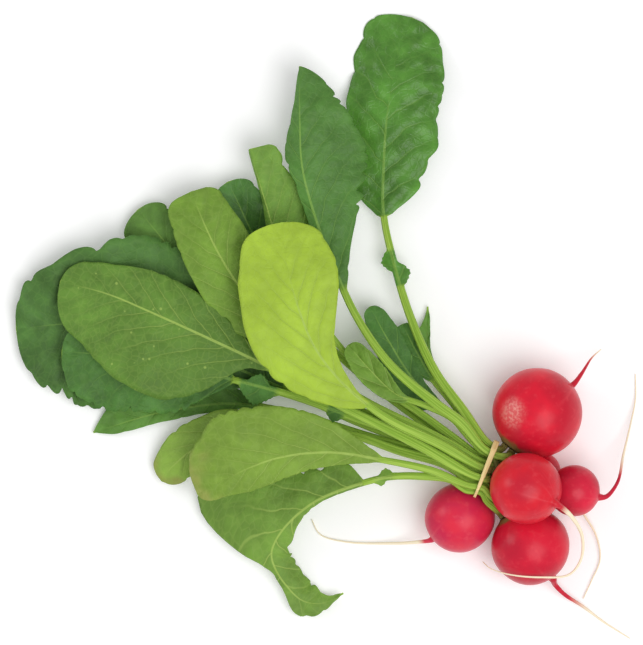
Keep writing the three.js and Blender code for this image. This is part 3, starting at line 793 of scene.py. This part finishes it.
def leaf_ring(frame_here, stalk, broad, reach, leaf, ripple, puffs):
    """Places round a leaf: along its top from left to right, then back under it."""
    point, _, left, up = frame_here
    sides = {}
    for side in (1, -1):
        wide = reach[0] if side > 0 else reach[1]
        fold = leaf["fold"][0 if side > 0 else 1]
        bend = leaf["bend"][0 if side > 0 else 1] + ripple * side
        flat = smooth(stalk * 1.05, stalk * 2.4, wide)
        columns = []
        y = z = 0.0
        for k in range(HALF_COLUMNS + 1):
            share = k / HALF_COLUMNS
            if k:
                slope = math.radians(fold + bend * (share - 0.5 / HALF_COLUMNS))
                y += wide / HALF_COLUMNS * math.cos(slope)
                z += wide / HALF_COLUMNS * math.sin(slope)
            slope = math.radians(fold + bend * share)
            thick = BLADE_THICK * mix(1, 0.6, share)
            puff = puffs(side, share * wide) * flat * smooth(0, 0.2, share)
            rib = math.exp(-((y / stalk) ** 2) * 1.1)
            turn = math.radians(90 - 82 * share)
            pair = []
            for face in (1, -1):
                swell = stalk * (0.22 if face > 0 else 0.95) * rib
                offset = face * (thick / 2 + swell)
                flat_y = y - math.sin(slope) * offset
                flat_z = z + math.cos(slope) * offset + puff
                round_y = broad * math.cos(turn)
                round_z = face * stalk * (math.sin(turn) + 0.06 * math.cos(turn * 8))
                pair.append((side * mix(round_y, flat_y, flat), mix(round_z, flat_z, flat)))
            columns.append(pair)
        sides[side] = columns
    top = [sides[1][k][0] for k in range(HALF_COLUMNS, -1, -1)] + [c[0] for c in sides[-1][1:]]
    under = [sides[1][k][1] for k in range(HALF_COLUMNS, -1, -1)] + [c[1] for c in sides[-1][1:]]
    high = [point + left * y + up * z for y, z in top]
    low = [point + left * y + up * z for y, z in under]
    for a, b in zip(high, low):
        lift = max(0, 0.05 - min(a.z, b.z))
        a.z += lift
        b.z += lift
    return high + low[::-1]


# %% [markdown]
# ## A whole leaf
#
# The blade puffs up between its side ribs, the margin waves, and its edge is cut into low rounded
# teeth that drift, so that no two are alike. The teeth could be an image's edge on a flat card,
# but a card is thin and straight when seen from the side.

# %% A whole leaf
RIB_SPACING = 9.0
ROW_SPACING = 0.85
STALK_THIN = 0.75
STALK_BROAD = 1.5
RIB_TIP = 0.3
FORM = {
    "leaf_1a": dict(cut=0.1, teeth=9, puff=1.0, crinkle=1.6),
    "leaf_1b": dict(cut=0.14, teeth=13, puff=0.6, crinkle=0.7),
    "leaf_2a": dict(cut=0.07, teeth=7, puff=0.5, crinkle=0.6),
    "leaf_2b": dict(cut=0.03, teeth=8, puff=0.45, crinkle=0.5),
    "leaf_2c": dict(cut=0.07, teeth=9, puff=0.6, crinkle=0.7),
    "leaf_3a": dict(cut=0.13, teeth=18, puff=1.0, crinkle=1.2),
    "leaf_4b": dict(cut=0.14, teeth=15, puff=0.9, crinkle=1.2),
    "leaf_5a": dict(cut=0.07, teeth=19, puff=0.5, crinkle=0.6),
    "leaf_5b": dict(cut=0.2, teeth=15, puff=0.6, crinkle=0.8),
}
PLAIN_FORM = dict(cut=0.12, teeth=9, puff=0.5, crinkle=0.6)


def make_leaf(title, leaf):
    run = leaf_run(leaf)
    form = FORM.get(title, PLAIN_FORM)
    lobes = leaf.get("lobes", [])
    base = run.length - leaf["blade"]
    seed = 7.3 * (1 + list(LEAVES).index(title))
    stations = []
    distance = 0.0
    while distance < base:
        stations.append(distance)
        near_lobe = any(abs(distance - place * base) < size + 1 for place, _, size in lobes)
        distance += 0.8 if distance < 24 or near_lobe else 2.2
    blade_rows = max(40, int(leaf["blade"] / ROW_SPACING))
    for row in range(blade_rows + 1):
        share = 1 - (1 - row / blade_rows) ** 1.15
        stations.append(base + leaf["blade"] * share)

    rings, measures = [], []
    for distance in stations:
        share = max(0.0, (distance - base) / leaf["blade"])
        stalk = leaf["stalk"] * mix(1, STALK_THIN, min(1, distance / base)) * mix(1, RIB_TIP, share)
        reach = [0.5, 0.5]
        if share > 0:
            for i, sizes in enumerate((leaf["left"], leaf["right"])):
                drift = noise.noise(Vector((share * 5, i * 5.1, seed)))
                uneven = noise.noise(Vector((share * 9, i * 2.7, seed + 4)))
                notch = 1 - abs(math.sin(math.pi * (share * form["teeth"] + drift * 1.5))) ** 0.6
                cut = 1 - form["cut"] * notch * max(0.15, 0.6 + 1.5 * uneven) + 0.05 * drift
                reach[i] = soft_reach(share, sizes, leaf["tip"]) * cut
        else:
            for place, side, size in lobes:
                bump = max(0, 1 - abs(distance - place * base) / size) ** 0.6 * size
                reach[0 if side > 0 else 1] += bump * (1 - 0.12 * (int(distance * 1.2) % 2))
        waves = leaf["wave"] * math.sin(share * 15) * smooth(0.1, 0.4, share)
        crinkle = form["crinkle"] * 9 * noise.noise(Vector((share * 13, seed, 1.7)))
        crinkle *= smooth(0, 0.3, share)

        def puffs(side, out, share=share):
            slanted = share * leaf["blade"] - out * 0.95 - out * out * 0.012
            slanted += RIB_SPACING / 2 if side > 0 else 0
            between = abs(math.sin(math.pi * slanted / RIB_SPACING))
            lump = noise.noise(Vector((side * out * 0.16, share * leaf["blade"] * 0.16, seed)))
            return form["puff"] * (between * 0.55 + lump * 1.1) * smooth(0, 0.08, share)

        frame_here = run.frame(distance)
        past = smooth(5, 18, frame_here[0].dot(ALONG)) * (1 - 0.5 * min(1, distance / base))
        broad = stalk * mix(1, STALK_BROAD, past)
        rings.append(leaf_ring(frame_here, stalk, broad, reach, leaf, waves + crinkle, puffs))
        measures.append((distance - base, stalk, reach))

    columns = 2 * HALF_COLUMNS + 1

    def across(column):
        """From 1 at the left margin to -1 at the right one, above and below alike."""
        column %= 2 * columns
        place = column if column < columns else 2 * columns - 1 - column
        return (HALF_COLUMNS - place) / HALF_COLUMNS

    def size_map(row, column):
        along, stalk, reach = measures[row]
        wide = reach[0] if across(column) > 0 else reach[1]
        return (across(column) * max(wide, stalk * 1.6), along)

    def form_map(row, column):
        _, stalk, reach = measures[row]
        return (smooth(stalk * 1.05, stalk * 2.6, max(reach)), stalk * 0.55)

    def share_map(row, column):
        return (abs(across(column)), max(0.0, measures[row][0] / leaf["blade"]))

    finish = leaf_finish(title, **TONES[title])
    maps = {"size_map": size_map, "form_map": form_map, "share_map": share_map}
    piece = wrap_skin(title + "_blade", rings, maps, finish)
    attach(piece, "root")
    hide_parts(title)
    return piece


for title, leaf in LEAVES.items():
    piece = make_leaf(title, leaf)
    print(title, "faces:", len(piece.data.polygons))

# %% [markdown]
# ## The skin of a radish
#
# The skin is a thin red rind, smooth and a little waxy, so two soft gleams lie on each root.
# It pales in blotches, has fine lengthwise lines towards the tail, and the crown is dull
# and greenish where old leaves left their marks. The tail starts as red as the root and fades
# to cream. The map along the root says where each of these lies, and noise breaks their edges.

# %% The skin's finish
# the pink of root 1's pale speckled patch, which is partly rubbed skin and partly a painted highlight
RUB_AND_GLEAM_PINK = colour(0.8, 0.3, 0.26)
CREAM = colour(0.93, 0.82, 0.6)
CROWN_DULL = colour(0.2, 0.17, 0.05)
TAIL_STARTS = 0.86  # share of the belly's half length where the tail begins
TAIL_UNIT = 30.0  # millimetres of tail to one step of the map along a root


def skin_finish(title, red, deep, pale, tail_red, scuff=None):
    finish = Finish(title)
    along, turn = finish.map("root_map")
    place = finish.object_place()
    broad = finish.cloud(place, 55.0, 3.0)
    fine = finish.cloud(place, 420.0, 4.0)
    face = finish.blend(broad.step(0.35, 0.68), deep, red)
    face = finish.blend(fine.step(0.52, 0.78) * 0.25, face, pale)
    lines = finish.cloud(finish.vector(turn * 30, along * 0.5), 1.0, 3.0)
    face = finish.blend(lines.step(0.5, 0.8) * along.step(0.1, 0.95) * 0.5, face, pale)
    # a pale speckled patch, partly rubbed skin and partly a painted highlight
    if scuff:
        spot = finish.node("ShaderNodeVectorMath", {"operation": "DISTANCE"}, {0: place, 1: scuff[0]})
        rub_and_gleam_speckle = finish.cloud(place, 900.0, 3.0)
        rub_and_gleam_mask = (spot.out("Value") / (scuff[1] * MM) + (broad - 0.5) * 0.8).step(1.15, 0.2)
        face = finish.blend(rub_and_gleam_mask * 0.3 + rub_and_gleam_mask * rub_and_gleam_speckle.step(0.4, 0.62) * 0.55, face, RUB_AND_GLEAM_PINK)
    from_belly = (along - 0.94) * TAIL_UNIT
    ragged = (lines - 0.5) * 0.7 + (broad - 0.5) * 0.5
    fade = (from_belly + ragged * (tail_red * 0.6 + 2)).step(tail_red * 0.8, tail_red * 1.35 + 2)
    face = finish.blend(fade, face, CREAM)
    crown = (along + (fine - 0.5) * 0.12).step(-0.9, -0.985)
    face = finish.blend(crown * 0.9, face, CROWN_DULL)
    finish.feed(
        Base_Color=face,
        Roughness=0.31 + (fine - 0.5) * 0.14 + fade * 0.25 + crown * 0.3,
        Specular_IOR_Level=0.2,
    )
    finish.bump(fine * 0.35 + lines * along.step(0.3, 1.2) * 0.5 + fade * fine, 0.35, 0.0005)
    return finish.material


# %% [markdown]
# ## A root
#
# A round radish is a swollen root, so belly and tail are one skin. A sphere with a separate
# tail pushed into it would leave a hard line at the joint. Here the rings run from the crown
# through the belly and on down the tail, and where both have a radius a soft maximum takes the
# larger. The tail seldom leaves opposite the crown, so the rings of the belly turn little by
# little about its middle, which keeps it round. It is flattened where it lies on the table.

# %% Roots from crown to tail
ROOT_COLUMNS = 44
BELLY_RINGS = 40
REST_SINK = 0.4
RESTS_BELOW = 1.5


def rested_centre(root, way):
    """The belly's middle, let down onto the table if it nearly reaches it."""
    centre = Vector(root["centre"])
    along = root["radius"] * root["squat"]
    drop = math.sqrt((along * way.z) ** 2 + root["radius"] ** 2 * (1 - way.z**2))
    low = centre.z - drop
    if low < RESTS_BELOW:
        centre.z -= low + REST_SINK
    return centre


def belly_and_tail_stations(root, run):
    """Distances along a root from its crown, and how much each ring is drawn in."""
    along = root["radius"] * root["squat"]
    tail_from = along * (NECK_REACH + TAIL_STARTS)
    stations = [(0.0, 0.15), (0.0, 0.6), (0.0, 0.9), (0.35, 1), (0.9, 1)]
    for k in range(BELLY_RINGS + 1):
        distance = along * (NECK_REACH - math.cos(math.pi * k / BELLY_RINGS))
        if 0.9 < distance < tail_from:
            stations.append((distance, 1))
    down_tail = 0.0
    while down_tail < run.length - 0.3:
        stations.append((tail_from + down_tail, 1))
        down_tail += 0.5 if down_tail < along * 0.2 else 1.1
    return stations + [(tail_from + run.length - 0.25, 0.8), (tail_from + run.length - 0.05, 0.35)]


def make_root(number, root, finish):
    way = crown_way(root)
    centre = rested_centre(root, way)
    along = root["radius"] * root["squat"]
    tail_way = Vector(root["tail_way"]).normalized()
    tail_places = [centre + tail_way * along * share for share in (TAIL_STARTS, TAIL_STARTS + 0.2)]
    run = Run([*tail_places, *[Vector(p) for p in root["tail"]]])
    tail_from = along * (NECK_REACH + TAIL_STARTS)
    neck = min(4.4, root["radius"] * 0.36)
    level = UP.cross(-way).normalized()
    steep = (-way).cross(level)
    lean = (-way).rotation_difference(tail_way)
    _, _, left, up = run.frame(0)
    leant = lean @ level
    roll = math.atan2(leant.dot(up), leant.dot(left))

    rings, lengthways = [], []
    for distance, shrink in belly_and_tail_stations(root, run):
        x = (distance - along * NECK_REACH) / along
        belly = root["radius"] * max(0, 1 - x * x) ** 0.47
        down_tail = distance - tail_from
        share = max(0, down_tail) / run.length
        tail = mix(root["tail_radius"], 0.2, share**0.36) * (1 + 1.2 * math.exp(-30 * share))
        tail *= 1 + 0.12 * noise.noise(Vector((distance * 0.3, number, 0)))
        tail *= smooth(0, 0.14 * along, down_tail)
        top = neck if x < -0.86 else 0.0
        radius = (belly**4 + tail**4 + top**4) ** 0.25 * shrink
        if x < 1:
            rotation = Quaternion().slerp(lean, smooth(-0.75, TAIL_STARTS, x))
            point = centre + rotation @ (way * -x * along)
            left, up = rotation @ level, rotation @ steep
            turned = 0.0
        else:
            point, _, left, up = run.frame(down_tail)
            point.z = max(point.z, radius * 0.95)
            turned = roll
        ring = []
        for column in range(ROOT_COLUMNS):
            turn = 2 * math.pi * column / ROOT_COLUMNS + turned
            out = left * math.cos(turn) + up * math.sin(turn)
            lump = noise.noise((point + out * radius) * 0.07 + Vector((number * 3, 0, 0)))
            groove = 0.012 * math.sin(turn * 3 + number) * smooth(0.2, -0.95, x)
            place = point + out * radius * (1 + 0.022 * lump + groove)
            place.z = max(place.z, 0)
            ring.append(place)
        rings.append(ring)
        lengthways.append(x if down_tail < 0 else TAIL_STARTS + down_tail / TAIL_UNIT)

    def root_map(row, column):
        return (lengthways[row], column / ROOT_COLUMNS)

    title = f"radish_{number}"
    piece = wrap_skin(title + "_skin", rings, {"root_map": root_map}, finish)
    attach(piece, "root")
    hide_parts(title)
    print(title, "faces:", len(piece.data.polygons), "tail mm:", round(run.length, 1))


SKIN_TONES = {
    1: dict(red=colour(0.8, 0.012, 0.035), deep=colour(0.55, 0.012, 0.032), pale=colour(0.82, 0.08, 0.1)),
    2: dict(red=colour(0.74, 0.016, 0.03), deep=colour(0.55, 0.016, 0.035), pale=colour(0.8, 0.1, 0.12)),
    3: dict(red=colour(0.72, 0.02, 0.055), deep=colour(0.52, 0.014, 0.04), pale=colour(0.78, 0.1, 0.12)),
    4: dict(red=colour(0.74, 0.03, 0.06), deep=colour(0.58, 0.018, 0.07), pale=colour(0.8, 0.12, 0.14)),
    5: dict(red=colour(0.68, 0.014, 0.04), deep=colour(0.5, 0.012, 0.035), pale=colour(0.78, 0.08, 0.1)),
    6: dict(red=colour(0.66, 0.014, 0.035), deep=colour(0.5, 0.012, 0.035), pale=colour(0.7, 0.08, 0.1)),
}
# root 1's pale speckled patch: partly rubbed skin, partly a painted highlight
SKIN_TONES[1]["scuff"] = (Vector((8.5, 22.8, 31.2)) * MM + shift, 7.0)  # its middle, and radius in mm
for number, root in ROOTS.items():
    finish = skin_finish(f"skin_{number}", tail_red=root["tail_red"], **SKIN_TONES[number])
    make_root(number, root, finish)

# %% [markdown]
# ## The band
#
# The band is a narrow pale strip pulled tight round the stalks. Its section is a flat rectangle
# with rounded edges, carried round the outline found above, and it lies wider over the upper
# stalks, where it isn't twisted. It could be a bevelled curve, but a curve's section would tilt
# where the outline turns sharply round an outer stalk.

# %% The band round the stalks
BAND_STEPS = 120
BAND_CORNERS = 16
band_rings = []
for step in range(BAND_STEPS):
    turn = 2 * math.pi * step / BAND_STEPS
    wide = BAND_WIDE * mix(0.75, 1.6, smooth(-0.2, 0.6, math.cos(turn)))
    ring = []
    for corner in range(BAND_CORNERS):
        angle = 2 * math.pi * corner / BAND_CORNERS
        out = abs(math.cos(angle)) ** 0.5 * math.copysign(1, math.cos(angle))
        side = abs(math.sin(angle)) ** 0.5 * math.copysign(1, math.sin(angle))
        ring.append(band_point(turn, BAND_THICK * (0.5 + 0.5 * out), side * wide / 2))
    band_rings.append(ring)


def band_map(row, column):
    return (row * 0.6, column / BAND_CORNERS)


band_finish = Finish("band_straw")
around, section = band_finish.map("band_map")
fibre = band_finish.cloud(band_finish.vector(around * 0.35, section * 22), 1.0, 3.0)
straw = band_finish.blend(fibre.step(0.3, 0.7), colour(0.74, 0.54, 0.2), colour(0.93, 0.77, 0.38))
band_finish.feed(Base_Color=straw, Roughness=0.5)
band_finish.bump(fibre, 0.3, 0.0004)
band_maps = {"band_map": band_map}
band = wrap_skin("tie_band_strip", band_rings, band_maps, band_finish.material, closed_loop=True)
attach(band, "root")
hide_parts("tie_band")
print("band faces:", len(band.data.polygons))

# %% [markdown]
# ## The table
#
# The photograph has a bright white ground on which the shadows are wide and faint. A plain
# white sheet just under the bunch does for it. It glows a little itself, which keeps it white
# beside the shadows.

# %% The white table
mesh = bmesh.new()
bmesh.ops.create_grid(mesh, x_segments=1, y_segments=1, size=2.5)
bmesh.ops.translate(mesh, verts=mesh.verts, vec=Vector((0, 0, -0.0003)))
table_data = bpy.data.meshes.new("table_top")
mesh.to_mesh(table_data)
mesh.free()
table_finish = Finish("table_white")
table_finish.feed(Base_Color=colour(0.95, 0.95, 0.95), Roughness=0.8, Specular_IOR_Level=0.1)
table_finish.feed(Emission_Color=colour(1, 1, 1), Emission_Strength=0.12)
table_data.materials.append(table_finish.material)
table_top = bpy.data.objects.new("table_top", table_data)
bpy.context.scene.collection.objects.link(table_top)

# %% [markdown]
# ## The camera
#
# The photograph looks straight down. A far camera with a long lens keeps the view nearly free of
# perspective, and its lens is worked out from how many millimetres the picture is wide.

# %% The camera straight above
CAMERA_HEIGHT = 4.0
PICTURE_WIDTH = 643 * 0.4 * MM
camera_data = bpy.data.cameras.new("camera")
camera_data.sensor_fit = "HORIZONTAL"
camera_data.sensor_width = 36
camera_data.lens = 36 * (CAMERA_HEIGHT - 0.015) / PICTURE_WIDTH
camera = bpy.data.objects.new("camera", camera_data)
camera.location = Vector((-67.4 * MM, 58.6 * MM, CAMERA_HEIGHT)) + Vector((shift.x, shift.y, 0))
bpy.context.scene.collection.objects.link(camera)
bpy.context.scene.camera = camera
print("lens mm:", round(camera_data.lens, 1))


# %% [markdown]
# ## The light
#
# The light is one large soft panel overhead, set a little towards the roots, a smaller low one
# from the left that gives each root its second soft gleam, and a bright white world.

# %% Soft studio light
def soft_panel(title, place, size, watts):
    data = bpy.data.lights.new(title, "AREA")
    data.size = size
    data.energy = watts
    lamp = bpy.data.objects.new(title, data)
    lamp.location = Vector(place)
    lamp.rotation_euler = (-Vector(place)).to_track_quat("-Z", "Y").to_euler()
    bpy.context.scene.collection.objects.link(lamp)


soft_panel("panel_over", (0.45, -0.4, 1.25), 1.0, 11.5)
soft_panel("panel_left", (-1.13, 0.35, 0.6), 0.5, 3.6)
world = bpy.data.worlds.new("bright_room")
world.use_nodes = True
world.node_tree.nodes["Background"].inputs["Color"].default_value = (1, 1, 1, 1)
world.node_tree.nodes["Background"].inputs["Strength"].default_value = 0.5
bpy.context.scene.world = world
bpy.context.scene.view_settings.view_transform = "Standard"
